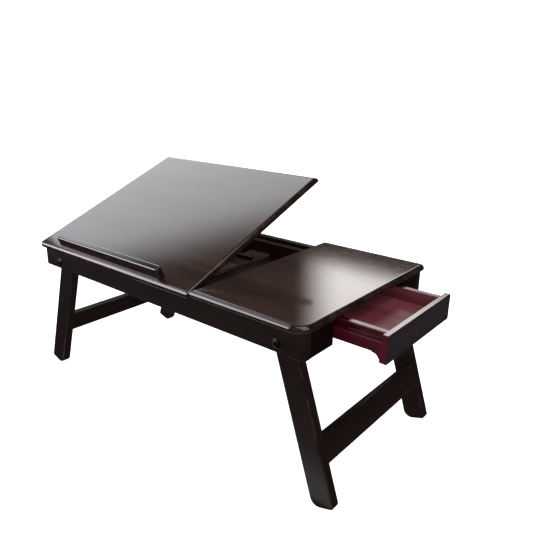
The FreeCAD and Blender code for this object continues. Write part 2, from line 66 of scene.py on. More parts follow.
# stage: a round floor whose rim curls up, a wall that goes on from the rim, soft boxes and a dim surround

stageLook = dict(flatRings=(0.4, 1.2, 2.2), flatRadius=3.0, rimRadius=1.25, rimRings=40, wallTop=5.0,
                 wallRings=4, spokes=96, whiteness=0.86, roughness=0.9, specular=0.1, glow=1.0)
surroundLook = dict(colour=(1.0, 0.93, 0.88), strength=0.05)
softBoxes = dict(
    keyBox=dict(aim=(-0.1, 0.0, 0.26), place=(-1.55, 0.68, 1.60), size=(1.3, 1.9), power=23.5,
                tint=(0.92, 0.955, 1.0), slant=(0.33, 0.67, 0.83)),
    windowBox=dict(aim=(-0.77, 0.0, 1.24), place=(-0.77, 1.90, 1.24), size=(0.98, 0.70), power=9.8,
                   tint=(1.0, 0.965, 0.94), fade=(0.34, 0.19)),
    ceilingBox=dict(aim=(0.0, 0.0, 0.2), place=(-1.20, -0.60, 1.70), size=(1.3, 1.3), power=12.0,
                    tint=(1.0, 0.98, 0.98)),
    overheadBox=dict(aim=(0.1, 0.0, 0.1), place=(0.9, -0.3, 2.3), size=(1.6, 1.6), power=20.0,
                     tint=(1.0, 1.0, 1.0)),
    rightBox=dict(aim=(0.3, 0.0, 0.2), place=(1.70, -0.45, 1.15), size=(1.2, 1.0), power=11.0,
                  tint=(1.0, 0.99, 0.98)),
    nosingBox=dict(aim=(0.0, -0.15, 0.24), place=(-1.35, -1.45, 0.80), size=(1.5, 1.2), power=50.0,
                   tint=(1.0, 0.92, 0.98), glossOnly=True),
    floorBox=dict(aim=(0.10, -0.163, 1.0), place=(0.10, -0.163, 0.003), size=(0.80, 0.045), power=0.19,
                  tint=(0.95, 0.98, 1.0), glossOnly=True),
)

def gridFaces(rows, columns, start=0):
    # quads of a grid whose columns close into a ring, facing outwards when the ring turns anticlockwise
    row, column = np.meshgrid(np.arange(rows - 1), np.arange(columns), indexing="ij")
    following = (column + 1) % columns
    quads = np.stack([row * columns + column, row * columns + following,
                      (row + 1) * columns + following, (row + 1) * columns + column], -1)
    return (quads.reshape(-1, 4) + start).tolist()

def makeSheet(name, radius, height, spokes, closed):
    # a surface of revolution: every ring has its own radius and height, and the first can close to a point
    turn = np.linspace(0, 2 * math.pi, spokes, endpoint=False)
    x = radius[:, None] * np.cos(turn)
    y = radius[:, None] * np.sin(turn)
    z = np.repeat(height[:, None], spokes, axis=1)
    points = np.concatenate([[[0, 0, 0]], np.stack([x, y, z], -1).reshape(-1, 3)])
    ring = 1 + np.arange(spokes)
    middle = np.stack([ring * 0, np.roll(ring, -1), ring], 1).tolist() if closed else []
    faces = [face[::-1] for face in middle + gridFaces(len(radius), spokes, 1)]
    mesh = bpy.data.meshes.new(name)
    mesh.from_pydata(points.tolist(), [], faces)
    mesh.polygons.foreach_set("use_smooth", [True] * len(mesh.polygons))
    sheet = bpy.data.objects.new(name, mesh)
    scene.collection.objects.link(sheet)
    sheet.visible_glossy = False
    return sheet

def makeStage(look):
    # flat, then a quarter circle: the height is R minus R times the cosine of its turn
    bend = np.linspace(0, math.pi / 2, look["rimRings"])
    flatRings = np.array(look["flatRings"])
    radius = np.concatenate([flatRings, look["flatRadius"] + look["rimRadius"] * np.sin(bend)])
    height = np.concatenate([flatRings * 0, look["rimRadius"] * (1 - np.cos(bend))])
    floor = makeSheet("studioFloor", radius, height, look["spokes"], True)
    outer = look["flatRadius"] + look["rimRadius"]
    wallHeight = np.linspace(look["rimRadius"], look["wallTop"], look["wallRings"])
    wall = makeSheet("studioWall", wallHeight * 0 + outer, wallHeight, look["spokes"], False)
    wall.visible_diffuse = False
    material = bpy.data.materials.new("studioPaper")
    material.use_nodes = True
    shader = material.node_tree.nodes["Principled BSDF"]
    shader.inputs["Base Color"].default_value = (look["whiteness"],) * 3 + (1,)
    shader.inputs["Roughness"].default_value = look["roughness"]
    shader.inputs["Specular IOR Level"].default_value = look["specular"]
    shader.inputs["Emission Color"].default_value = (1, 1, 1, 1)
    shader.inputs["Emission Strength"].default_value = look["glow"]
    for sheet in (floor, wall):
        sheet.data.materials.append(material)

def makeSoftBox(name, look):
    data = bpy.data.lights.new(name, "AREA")
    data.shape = "RECTANGLE"
    data.size, data.size_y = look["size"]
    data.energy, data.color = look["power"], look["tint"]
    lamp = bpy.data.objects.new(name, data)
    scene.collection.objects.link(lamp)
    lamp.location = look["place"]
    towards = Vector(look["aim"]) - Vector(look["place"])
    lamp.rotation_euler = towards.to_track_quat("-Z", "Y").to_euler()
    lamp.visible_camera = False
    lamp.visible_diffuse = not look.get("glossOnly", False)
    if "fade" in look or "slant" in look:
        fadeLight(data, look)

def fadeLight(data, look):
    # fade: a smooth step over the light's left margin times one over its lower margin
    # slant: 1 where v + a*u is under low, 0 where it is over high, with u and v from 0 to 1 across the light
    data.use_nodes = True
    tree = data.node_tree
    place = tree.nodes.new("ShaderNodeSeparateXYZ")
    feed(tree, place.inputs["Vector"], tree.nodes.new("ShaderNodeNewGeometry").outputs["Parametric"])
    u, v = place.outputs["X"], place.outputs["Y"]
    if "fade" in look:
        left, lower = look["fade"]
        leftStep = stepNode(tree, u, (1.0 - left, 1.0), (1.0, 0.0))
        strength = mathNode(tree, "MULTIPLY", leftStep, stepNode(tree, v, (0.0, lower)))
    else:
        lean, low, high = look["slant"]
        strength = stepNode(tree, mathNode(tree, "MULTIPLY_ADD", u, lean, v), (low, high), (1.0, 0.0))
    feed(tree, tree.nodes["Emission"].inputs["Strength"], strength)

def makeSurround(look):
    world = bpy.data.worlds.new("surround")
    world.use_nodes = True
    background = world.node_tree.nodes["Background"]
    background.inputs["Color"].default_value = look["colour"] + (1,)
    background.inputs["Strength"].default_value = look["strength"]
    scene.world = world

# small helpers for node trees

mixSockets = dict(first=6, second=7, result=2)  # the colour sockets of a Mix node

def newGroup(name, inputs, outputs):
    # an input with no value is a vector, and every other socket is a number
    tree = bpy.data.node_groups.new(name, "ShaderNodeTree")
    for label, value in inputs.items():
        kind = "NodeSocketVector" if value is None else "NodeSocketFloat"
        socket = tree.interface.new_socket(name=label, in_out="INPUT", socket_type=kind)
        if value is not None:
            socket.default_value = value
    for label in outputs:
        tree.interface.new_socket(name=label, in_out="OUTPUT", socket_type="NodeSocketFloat")
    return tree, tree.nodes.new("NodeGroupInput"), tree.nodes.new("NodeGroupOutput")

def feed(tree, socket, value):
    if isinstance(value, bpy.types.NodeSocket):
        tree.links.new(value, socket)
    elif value is not None:
        socket.default_value = value

def mathNode(tree, operation, first, second=None, third=None, clamp=False):
    node = tree.nodes.new("ShaderNodeMath")
    node.operation, node.use_clamp = operation, clamp
    for socket, value in zip(node.inputs, (first, second, third)):
        feed(tree, socket, value)
    return node.outputs[0]

def vectorNode(tree, operation, first, second=None):
    node = tree.nodes.new("ShaderNodeVectorMath")
    node.operation = operation
    feed(tree, node.inputs[0], first)
    feed(tree, node.inputs[1], second)
    return node.outputs[0]

def noiseNode(tree, vector, scale, detail, roughness=0.5):
    node = tree.nodes.new("ShaderNodeTexNoise")
    for label, value in (("Vector", vector), ("Scale", scale), ("Detail", detail), ("Roughness", roughness)):
        feed(tree, node.inputs[label], value)
    return node.outputs["Fac"]

def stretchedNoise(tree, vector, stretch, *noise):
    # a single number squeezes the noise along X, which gives streaks
    factors = stretch if isinstance(stretch, tuple) else (stretch, 1.0, 1.0)
    return noiseNode(tree, vectorNode(tree, "MULTIPLY", vector, factors), *noise)

def stepNode(tree, value, limits, results=(0.0, 1.0)):
    # a smooth step from the first result at the first limit to the second result at the second limit
    node = tree.nodes.new("ShaderNodeMapRange")
    node.interpolation_type = "SMOOTHSTEP"
    sockets = ("Value", "From Min", "From Max", "To Min", "To Max")
    for label, item in zip(sockets, (value, *limits, *results)):
        feed(tree, node.inputs[label], item)
    return node.outputs["Result"]

def mixColour(tree, mask, first, second, share=None):
    node = tree.nodes.new("ShaderNodeMix")
    node.data_type = "RGBA"
    feed(tree, node.inputs["Factor"], mask if share is None else mathNode(tree, "MULTIPLY", mask, share))
    for end, colour in (("first", first), ("second", second)):
        feed(tree, node.inputs[mixSockets[end]], colour + (1,) if isinstance(colour, tuple) else colour)
    return node.outputs[mixSockets["result"]]

def markNode(tree, name):
    # a mark that the mesh carries at its points
    node = tree.nodes.new("ShaderNodeAttribute")
    node.attribute_name = name
    return node.outputs["Fac"]

def shiftedPlace(tree, start, perSeed):
    # each seed takes its pattern from another place
    shift = vectorNode(tree, "SCALE", perSeed)
    feed(tree, shift.node.inputs["Scale"], start.outputs["Seed"])
    return vectorNode(tree, "ADD", start.outputs["Vector"], shift)

makeStage(stageLook)
for boxName, boxLook in softBoxes.items():
    makeSoftBox(boxName, boxLook)
makeSurround(surroundLook)
scene.view_settings.view_transform = "Standard"
print("stage and lights set")

# shader groups shared by the finishes: a noise is its scale, detail and roughness, a range is low and high

grainLook = dict(perSeed=(1.7, 2.3, 0.9), swayStretch=(2.2, 5.0, 5.0), swayNoise=(1.0, 2.0),
                 sway=(0.0, 0.012, 0.012), figureStretch=0.09, figure=34.0, figureNoise=(3.0, 0.55),
                 fineStretch=0.035, fineNoise=(420.0, 3.0, 0.6), figureShare=0.6, fineShare=0.4,
                 streakRange=(0.36, 0.66), poreStretch=0.045, poreNoise=(1500.0, 1.0), poreRange=(0.62, 0.74),
                 cloudStretch=(3.0, 9.0, 9.0), cloudNoise=(1.0, 2.0), heightShare=0.5)
wearLook = dict(noise=(38.0, 4.0, 0.65), range=(0.42, 0.7), amount=0.5)
handlingLook = dict(perSeed=(0.8, 1.9, 1.3), smearStretch=(6.0, 14.0, 10.0), smearNoise=(1.0, 5.0, 0.6),
                    smearRange=(0.35, 0.75), speckNoise=(900.0, 1.0), speckRange=(0.72, 0.8),
                    thickNoise=(7.0, 2.0), thickRange=(0.4, 0.7))
toneLook = dict(noise=(300.0, 3.0), fray=0.2, range=(0.3, 0.7))

def makeGrainGroup(look):
    # X runs along the grain: noise squeezed along X gives streaks, a finer one gives pores
    inputs = dict(Vector=None, Figure=look["figure"], Seed=0.0)
    tree, start, end = newGroup("woodGrain", inputs, ("Streaks", "Pores", "Cloud", "Height"))
    place = shiftedPlace(tree, start, look["perSeed"])
    sway = stretchedNoise(tree, place, look["swayStretch"], *look["swayNoise"])
    sway = vectorNode(tree, "MULTIPLY", vectorNode(tree, "ADD", sway, (-0.5,) * 3), look["sway"])
    swayed = vectorNode(tree, "ADD", place, sway)
    scale = start.outputs["Figure"]
    figure = stretchedNoise(tree, swayed, look["figureStretch"], scale, *look["figureNoise"])
    fine = stretchedNoise(tree, swayed, look["fineStretch"], *look["fineNoise"])
    streaks = mathNode(tree, "ADD", mathNode(tree, "MULTIPLY", figure, look["figureShare"]),
                       mathNode(tree, "MULTIPLY", fine, look["fineShare"]))
    pores = stretchedNoise(tree, swayed, look["poreStretch"], *look["poreNoise"])
    pores = stepNode(tree, pores, look["poreRange"])
    cloud = stretchedNoise(tree, place, look["cloudStretch"], *look["cloudNoise"])
    height = mathNode(tree, "SUBTRACT", mathNode(tree, "MULTIPLY", fine, look["heightShare"]), pores)
    feed(tree, end.inputs["Streaks"], stepNode(tree, streaks, look["streakRange"]))
    feed(tree, end.inputs["Pores"], pores)
    feed(tree, end.inputs["Cloud"], cloud)
    feed(tree, end.inputs["Height"], height)
    return tree

def makeWearGroup(look):
    # the mesh marks its rounded edges in the edge attribute, and noise breaks the mark into rubbed spots
    tree, start, end = newGroup("edgeWear", dict(Vector=None, Amount=look["amount"]), ("Mask",))
    patches = stepNode(tree, noiseNode(tree, start.outputs["Vector"], *look["noise"]), look["range"])
    worn = mathNode(tree, "MULTIPLY", markNode(tree, "edge"), patches)
    feed(tree, end.inputs["Mask"], mathNode(tree, "MULTIPLY", worn, start.outputs["Amount"], clamp=True))
    return tree

def makeHandlingGroup(look):
    # wide wiped smears, and fine specks of dust that lie thicker in some places
    tree, start, end = newGroup("handling", dict(Vector=None, Seed=0.0), ("Smears", "Dust"))
    place = shiftedPlace(tree, start, look["perSeed"])
    smears = stretchedNoise(tree, place, look["smearStretch"], *look["smearNoise"])
    specks = stepNode(tree, noiseNode(tree, place, *look["speckNoise"]), look["speckRange"])
    thick = stepNode(tree, noiseNode(tree, place, *look["thickNoise"]), look["thickRange"])
    feed(tree, end.inputs["Smears"], stepNode(tree, smears, look["smearRange"]))
    feed(tree, end.inputs["Dust"], mathNode(tree, "MULTIPLY", specks, thick))
    return tree

def makeToneGroup(look):
    # the mesh marks in the zone attribute where the second colour lies, and noise frays its border: a real
    # second stain on the drawer front, painted shade on the panels' edges and the ledge, and painted light on
    # the drawer's inner faces
    tree, start, end = newGroup("secondToneAndPaintedLight", dict(Vector=None, Fray=look["fray"]), ("Mask",))
    noise = mathNode(tree, "SUBTRACT", noiseNode(tree, start.outputs["Vector"], *look["noise"]), 0.5)
    fray = mathNode(tree, "MULTIPLY", noise, start.outputs["Fray"])
    frayed = mathNode(tree, "ADD", markNode(tree, "zone"), fray)
    feed(tree, end.inputs["Mask"], stepNode(tree, frayed, look["range"]))
    return tree

groups = dict(grain=makeGrainGroup(grainLook), wear=makeWearGroup(wearLook),
              handling=makeHandlingGroup(handlingLook), tone=makeToneGroup(toneLook))

def placeGroup(tree, group, **values):
    node = tree.nodes.new("ShaderNodeGroup")
    node.node_tree = groups[group]
    for label, value in values.items():
        feed(tree, node.inputs[label.capitalize()], value)
    return node.outputs

def startMaterial(name, turn):
    # Object coordinates turned so that X runs along the grain
    material = bpy.data.materials.new(name)
    material.use_nodes = True
    tree = material.node_tree
    coordinates = tree.nodes.new("ShaderNodeTexCoord")
    mapping = tree.nodes.new("ShaderNodeMapping")
    mapping.inputs["Rotation"].default_value = turn
    tree.links.new(coordinates.outputs["Object"], mapping.inputs["Vector"])
    return material, tree, tree.nodes["Principled BSDF"], mapping.outputs["Vector"]

def bumpNode(tree, height, distance, strength=1.0, under=None):
    node = tree.nodes.new("ShaderNodeBump")
    node.inputs["Distance"].default_value = distance
    node.inputs["Strength"].default_value = strength
    feed(tree, node.inputs["Height"], height)
    feed(tree, node.inputs["Normal"], under)
    return node.outputs["Normal"]

# wood: dark and light streaks, clouds and pores, a second colour on some, and rubbed edges; the second colour
# is a real stain on the drawer front, painted shade on the top's edges and ledge, and painted light inside
# the drawer

woodLook = dict(dust=(0.32, 0.3, 0.28), rubbedRough=0.12, waveDetail=2.0, waveDepth=0.00010)
# the top's zone colours are a darker copy of its stain for the nosing, ends and underside: painted shade
topLook = dict(woodLook, dark=(0.026, 0.0135, 0.0105), light=(0.058, 0.031, 0.0245),
               cloud=(0.040, 0.020, 0.016), cloudShare=0.5, pore=(0.010, 0.005, 0.004), poreShare=0.55,
               zoneDark=(0.0055, 0.0030, 0.0028), zoneLight=(0.013, 0.0068, 0.0062),
               rubbed=(0.075, 0.048, 0.036), figure=34.0, wear=0.35, dustShare=0.04, roughness=0.075,
               smear=0.02, poreRough=0.05, wave=7.0, grainDepth=0.000006, specular=0.5)
frameLook = dict(woodLook, dark=(0.0046, 0.0024, 0.0022), light=(0.0110, 0.0054, 0.0048),
                 cloud=(0.0092, 0.0036, 0.0034), cloudShare=0.5, pore=(0.003, 0.0018, 0.0017),
                 poreShare=0.5, rubbed=(0.05, 0.03, 0.024), figure=40.0, wear=0.4, dustShare=0.05,
                 roughness=0.36, smear=0.06, poreRough=0.1, wave=12.0, grainDepth=0.000015, specular=0.14)
insideLook = dict(frameLook, dark=(0.014, 0.0055, 0.0045), light=(0.036, 0.014, 0.0115),
                  cloud=(0.03, 0.010, 0.009), pore=(0.006, 0.003, 0.003), roughness=0.55,
                  specular=0.03, wear=0.15)
# the racks take a much lighter copy of the inside stain: partly painted light, standing in for light that the
# tilted panel shades off
rackLook = dict(insideLook, dark=(0.085, 0.050, 0.041), light=(0.16, 0.096, 0.080),
                cloud=(0.12, 0.071, 0.059), specular=0.25)
railLook = dict(frameLook, dark=(0.0026, 0.0011, 0.0010), light=(0.0060, 0.0026, 0.0022),
                cloud=(0.0048, 0.0018, 0.0016), specular=0.03)
burgundyLook = dict(woodLook, dark=(0.032, 0.0012, 0.0046), light=(0.064, 0.0030, 0.0095),
                    cloud=(0.047, 0.0020, 0.0066), cloudShare=0.4, pore=(0.022, 0.002, 0.005),
                    poreShare=0.35, rubbed=(0.16, 0.04, 0.045), figure=36.0, wear=0.3, dustShare=0.05,
                    roughness=0.22, smear=0.05, poreRough=0.04, wave=12.0, waveDepth=0.00006,
                    grainDepth=0.000004, specular=0.40)
frontLook = dict(burgundyLook, zoneDark=(0.0045, 0.0031, 0.0042), zoneLight=(0.0105, 0.0070, 0.0086),
                 roughness=0.15, specular=0.6, grainDepth=0.000003, waveDepth=0.00003)
# on the drawer's sides, back and bottom the zone colours are a far lighter copy of the lacquer for the faces
# that look into the drawer: painted light
drawerSideLook = dict(burgundyLook, zoneDark=(0.15, 0.032, 0.043), zoneLight=(0.24, 0.063, 0.079))
drawerBottomLook = dict(drawerSideLook, roughness=0.42, specular=0.14)

def woodMaterial(name, look, turn, seed):
    material, tree, shader, place = startMaterial(name, turn)
    grain = placeGroup(tree, "grain", vector=place, figure=look["figure"], seed=seed)
    wear = placeGroup(tree, "wear", vector=place, amount=look["wear"])["Mask"]
    touch = placeGroup(tree, "handling", vector=place, seed=seed)
    colour = mixColour(tree, grain["Streaks"], look["dark"], look["light"])
    colour = mixColour(tree, grain["Cloud"], colour, look["cloud"], look["cloudShare"])
    colour = mixColour(tree, grain["Pores"], colour, look["pore"], look["poreShare"])
    if "zoneDark" in look:
        second = mixColour(tree, grain["Streaks"], look["zoneDark"], look["zoneLight"])
        colour = mixColour(tree, placeGroup(tree, "tone", vector=place)["Mask"], colour, second)
    colour = mixColour(tree, wear, colour, look["rubbed"])
    colour = mixColour(tree, touch["Dust"], colour, look["dust"], look["dustShare"])
    rough = mathNode(tree, "MULTIPLY_ADD", touch["Smears"], look["smear"], look["roughness"])
    rough = mathNode(tree, "MULTIPLY_ADD", grain["Pores"], look["poreRough"], rough)
    rough = mathNode(tree, "MULTIPLY_ADD", wear, look["rubbedRough"], rough, clamp=True)
    broad = noiseNode(tree, place, look["wave"], look["waveDetail"])
    normal = bumpNode(tree, broad, look["waveDepth"])
    normal = bumpNode(tree, grain["Height"], look["grainDepth"], under=normal)
    feed(tree, shader.inputs["Base Color"], colour)
    feed(tree, shader.inputs["Roughness"], rough)
    feed(tree, shader.inputs["Normal"], normal)
    shader.inputs["Specular IOR Level"].default_value = look["specular"]
    return material

# metal: rolled or turned, with fine lines squeezed along X, dull spots and a little tarnish

metalLook = dict(wear=0.6, lineStretch=0.08, lineNoise=(2600.0, 2.0), lineRough=0.12, lineDepth=0.00001,
                 lineStrength=0.6, tarnishNoise=(160.0, 3.0), tarnishRange=(0.45, 0.7), smear=0.1)
brassLook = dict(metalLook, colour=(0.52, 0.38, 0.16), tarnish=(0.24, 0.15, 0.06),
                 rubbed=(0.8, 0.65, 0.36), tarnishShare=0.6, roughness=0.28)
bronzeLook = dict(metalLook, colour=(0.020, 0.0165, 0.0145), tarnish=(0.010, 0.008, 0.007),
                  rubbed=(0.060, 0.048, 0.040), tarnishShare=0.6, roughness=0.38)
zincLook = dict(metalLook, colour=(0.46, 0.47, 0.48), tarnish=(0.24, 0.24, 0.23),
                rubbed=(0.7, 0.7, 0.7), tarnishShare=0.5, roughness=0.32)

def metalMaterial(name, look, turn, seed):
    material, tree, shader, place = startMaterial(name, turn)
    touch = placeGroup(tree, "handling", vector=place, seed=seed)
    wear = placeGroup(tree, "wear", vector=place, amount=look["wear"])["Mask"]
    lines = stretchedNoise(tree, place, look["lineStretch"], *look["lineNoise"])
    tarnish = stepNode(tree, noiseNode(tree, place, *look["tarnishNoise"]), look["tarnishRange"])
    colour = mixColour(tree, tarnish, look["colour"], look["tarnish"], look["tarnishShare"])
    colour = mixColour(tree, wear, colour, look["rubbed"])
    rough = mathNode(tree, "MULTIPLY_ADD", lines, look["lineRough"], look["roughness"])
    rough = mathNode(tree, "MULTIPLY_ADD", touch["Smears"], look["smear"], rough, clamp=True)
    feed(tree, shader.inputs["Base Color"], colour)
    feed(tree, shader.inputs["Roughness"], rough)
    feed(tree, shader.inputs["Normal"], bumpNode(tree, lines, look["lineDepth"], look["lineStrength"]))
    shader.inputs["Metallic"].default_value = 1.0
    return material

splay = math.radians(joints["left_leg_fold"]["range_deg"][1]) - math.pi / 2
alongX, alongY = (0, 0, 0), (0, 0, -math.pi / 2)
alongRightLeg, alongLeftLeg = (0, math.pi / 2 + splay, 0), (0, math.pi / 2 - splay, 0)
finishes = dict(
    topX=woodMaterial("topLacquerX", topLook, alongX, seed=1.0),
    topTilt=woodMaterial("topLacquerTilt", topLook, alongX, seed=4.0),
    frameX=woodMaterial("frameStainX", frameLook, alongX, seed=2.0),
    frameY=woodMaterial("frameStainY", frameLook, alongY, seed=3.0),
    legRight=woodMaterial("frameStainLegRight", frameLook, alongRightLeg, seed=5.0),
    legLeft=woodMaterial("frameStainLegLeft", frameLook, alongLeftLeg, seed=6.0),
    insideX=woodMaterial("insideStainX", insideLook, alongX, seed=7.0),
    insideY=woodMaterial("insideStainY", insideLook, alongY, seed=8.0),
    rackY=woodMaterial("rackStainAndPaintedLight", rackLook, alongY, seed=13.0),
    railY=woodMaterial("endRailStain", railLook, alongY, seed=14.0),
    burgundyY=woodMaterial("burgundyLacquerY", burgundyLook, alongY, seed=10.0),
    sideX=woodMaterial("drawerSideLacquer", drawerSideLook, alongX, seed=15.0),
    backY=woodMaterial("drawerBackLacquer", drawerSideLook, alongY, seed=16.0),
    bottomX=woodMaterial("drawerBottomLacquer", drawerBottomLook, alongX, seed=12.0),
    frontY=woodMaterial("drawerFrontLacquer", frontLook, alongY, seed=11.0),
    brass=metalMaterial("brassPlate", brassLook, alongX, seed=1.0),
    bronze=metalMaterial("bronzedSteel", bronzeLook, alongY, seed=2.0),
    zinc=metalMaterial("zincPlate", zincLook, alongY, seed=3.0),
)
print("finishes made:", len(finishes))

# shapes: an outline with rounded corners, carried from station to station along one axis

outlineLimits = dict(straightHalf=math.radians(89.5), leastLength=1e-9, leastSweep=1e-6, leastShare=0.02,
                     widestEdge=0.005)
shadeLook = dict(sharpAngle=math.radians(40), flatWeight=90)

def cornerSides(corners):
    # the points, their radii, and the directions of the sides that reach and leave each point
    point = np.array([corner[:2] for corner in corners], float)
    radius = np.array([corner[2] for corner in corners], float)
    before, after = point - np.roll(point, 1, axis=0), np.roll(point, -1, axis=0) - point
    before = before / np.linalg.norm(before, axis=1, keepdims=True)
    after = after / np.linalg.norm(after, axis=1, keepdims=True)
    return point, radius, before, after

def roundedOutline(corners, steps):
    # each corner turns into an arc that touches both of its sides: centre + a blend of its two end radii
    limits = outlineLimits
    point, radius, before, toAfter = cornerSides(corners)
    toBefore = -before
    half = np.arccos(np.clip((toBefore * toAfter).sum(1), -1, 1)) / 2
    straight = half > limits["straightHalf"]
    reach = np.where(straight, radius, radius / np.tan(half))[:, None]
    bisector = toBefore + toAfter
    length = np.maximum(np.linalg.norm(bisector, axis=1, keepdims=True), limits["leastLength"])
    centre = point + bisector / length * np.where(straight, 0, radius / np.sin(half))[:, None]
    sweep = np.maximum(math.pi - 2 * half, limits["leastSweep"])[:, None]
    share = np.linspace(0, 1, steps + 1)
    first, last = np.sin((1 - share) * sweep) / np.sin(sweep), np.sin(share * sweep) / np.sin(sweep)
    start, end = point + toBefore * reach - centre, point + toAfter * reach - centre
    ring = centre[:, None] + first[..., None] * start[:, None] + last[..., None] * end[:, None]
    return ring.reshape(-1, 2)

def insetCorners(corners, depth):
    # every side moves in by depth, so each corner slides along its mitre and its radius shrinks or grows
    point, radius, before, after = cornerSides(corners)
    inBefore, inAfter = np.stack([-before[:, 1], before[:, 0]], 1), np.stack([-after[:, 1], after[:, 0]], 1)
    mitre = (inBefore + inAfter) / (1 + (inBefore * inAfter).sum(1, keepdims=True))
    turn = before[:, 0] * after[:, 1] - before[:, 1] * after[:, 0]
    shrunk = np.maximum(radius - depth, radius * outlineLimits["leastShare"])
    radii = np.where(turn > 0, shrunk, np.where(turn < 0, radius + depth, radius))
    return np.column_stack([point + mitre * depth, radii])

def edgeMarks(corners, steps):
    # 1 in the middle of each small outward corner, 0 on flat sides
    point, radius, before, after = cornerSides(corners)
    outward = before[:, 0] * after[:, 1] - before[:, 1] * after[:, 0] > 0
    outward &= (radius < outlineLimits["widestEdge"]) & (radius > 0)
    return (outward[:, None] * np.sin(math.pi * np.linspace(0, 1, steps + 1))).ravel()

def roundedStations(corners, low, high, edge, steps):
    # near each end the outline moves in by e(1 - sin a) while it travels e(1 - cos a)
    lowEdge, highEdge = edge if isinstance(edge, tuple) else (edge, edge)
    rise, fall = [], []
    for a in np.linspace(0, math.pi / 2, steps + 1):
        travel, inset, mark = 1 - math.cos(a), 1 - math.sin(a), math.sin(2 * a)
        rise.append((low + lowEdge * travel, corners, lowEdge * inset, mark))
        fall.append((high - highEdge * travel, corners, highEdge * inset, mark))
    return rise + fall[::-1]

def loftPiece(name, stations, along, place, steps, zone=None):
    # rings stand at their stations, quads join them, and the first and last ring are capped
    rings, marks = [], []
    for level, corners, inset, mark in stations:
        ring = roundedOutline(insetCorners(corners, inset), steps)
        u, v, w = ring[:, 0], ring[:, 1], np.full(len(ring), level)
        rings.append(np.stack({"X": (w, u, v), "Y": (v, w, u), "Z": (u, v, w)}[along], 1))
        marks.append(np.maximum(edgeMarks(corners, steps), mark))
    marks[0], marks[-1] = marks[0] * 0, marks[-1] * 0
    count = len(rings[0])
    points = np.concatenate(rings)
    faces = gridFaces(len(rings), count)
    faces.append(list(range(count))[::-1])
    faces.append(list(range(count * (len(rings) - 1), count * len(rings))))
    layers = {"edge": np.concatenate(marks)}
    if zone:
        axis, start, span = zone  # the mark grows from 0 at start to 1 a span further along the axis
        layers["zone"] = np.clip((points[:, "XYZ".index(axis)] - start) / span, 0, 1)
    return makeMesh(name, moved(points, place), faces, layers)

def moved(points, place):
    return points @ np.array(place.to_3x3()).T + np.array(place.translation)

def makeMesh(name, points, faces, layers=None):
    mesh = bpy.data.meshes.new(name)
    mesh.from_pydata(points.tolist(), [], faces)
    for layer, values in (layers or {}).items():
        mesh.attributes.new(layer, "FLOAT", "POINT").data.foreach_set("value", values.astype(np.float32))
    piece = bpy.data.objects.new(name, mesh)
    scene.collection.objects.link(piece)
    return softenMesh(piece)

def softenMesh(piece):
    mesh = piece.data
    mesh.validate()
    mesh.polygons.foreach_set("use_smooth", [True] * len(mesh.polygons))
    mesh.set_sharp_from_angle(angle=shadeLook["sharpAngle"])
    level = piece.modifiers.new("flatFaces", "WEIGHTED_NORMAL")
    level.keep_sharp, level.weight = True, shadeLook["flatWeight"]
    return piece

def carve(piece, cutter):
    # the cutter's solid is taken out of the piece, then the cutter goes
    piece.modifiers.clear()
    cut = piece.modifiers.new("cut", "BOOLEAN")
    cut.operation, cut.solver, cut.object = "DIFFERENCE", "EXACT", cutter
    ready = piece.evaluated_get(bpy.context.evaluated_depsgraph_get())
    carved = bpy.data.meshes.new_from_object(ready)
    piece.modifiers.clear()
    old, piece.data = piece.data, carved
    for mesh in (old, cutter.data):
        bpy.data.meshes.remove(mesh)
    carved.name = piece.name
    softenMesh(piece)

def dress(piece, finish, body, slot, *nodes):
    piece.data.materials.append(finishes[finish])
    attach(piece, body)
    if nodes:
        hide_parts(*nodes)

def rectangle(u, v, radius):
    radii = radius if isinstance(radius, tuple) else (radius,) * 4
    return [(u[0], v[0], radii[0]), (u[1], v[0], radii[1]), (u[1], v[1], radii[2]), (u[0], v[1], radii[3])]

def nodePoints(node):
    mesh = frame["nodes"][node].data
    points = np.empty(len(mesh.vertices) * 3)
    mesh.vertices.foreach_get("co", points)
    return points.reshape(-1, 3)

def localBox(node, place):
    # the node's limits measured in a turned frame
    points = moved(nodePoints(node), place.inverted())
    low, high = points.min(0), points.max(0)
    return (low[0], high[0]), (low[1], high[1]), (low[2], high[2])

# turned shapes: a profile carried round an axis, with a round, six-sided or cross-shaped plan

planLook = dict(crossArm=0.22, leastSine=1e-6)  # crossArm: half an arm's width, as a share of its length

def planRadius(kind, radius, turn):
    # six sides: r = a / cos(t - nearest flat)
    # cross: r = w / min(|sin t|, |cos t|), never past the cross's tip
    if kind == "hex":
        away = (turn + math.pi / 6) % (math.pi / 3) - math.pi / 6
        return radius / np.cos(away)
    if kind == "cross":
        nearest = np.minimum(abs(np.sin(turn)), abs(np.cos(turn)))
        return np.minimum(radius, radius * planLook["crossArm"] / np.maximum(nearest, planLook["leastSine"]))
    return np.full_like(turn, radius)

def turnedParts(profile, places, sides, ringed=False):
    # profile rows are (radius, height, plan); every place is a matrix that stands the part up along its own Z
    turn = np.linspace(0, 2 * math.pi, sides, endpoint=False)
    rings = []
    for radius, height, kind in profile:
        reach = planRadius(kind, radius, turn)
        rings.append(np.stack([reach * np.cos(turn), reach * np.sin(turn), np.full(sides, height)], 1))
    own = np.concatenate(rings)
    if ringed:
        # a ring with a hole: the last ring joins the first
        ownFaces = [[corner % len(own) for corner in face[::-1]] for face in gridFaces(len(rings) + 1, sides)]
    else:
        last = sides * (len(rings) - 1)
        ownFaces = [face[::-1] for face in gridFaces(len(rings), sides)]
        ownFaces += [list(range(sides)), list(range(last, last + sides))[::-1]]
    points, faces = [], []
    for number, place in enumerate(places):
        points.append(moved(own, place))
        faces += [[corner + number * len(own) for corner in face] for face in ownFaces]
    return np.concatenate(points), faces

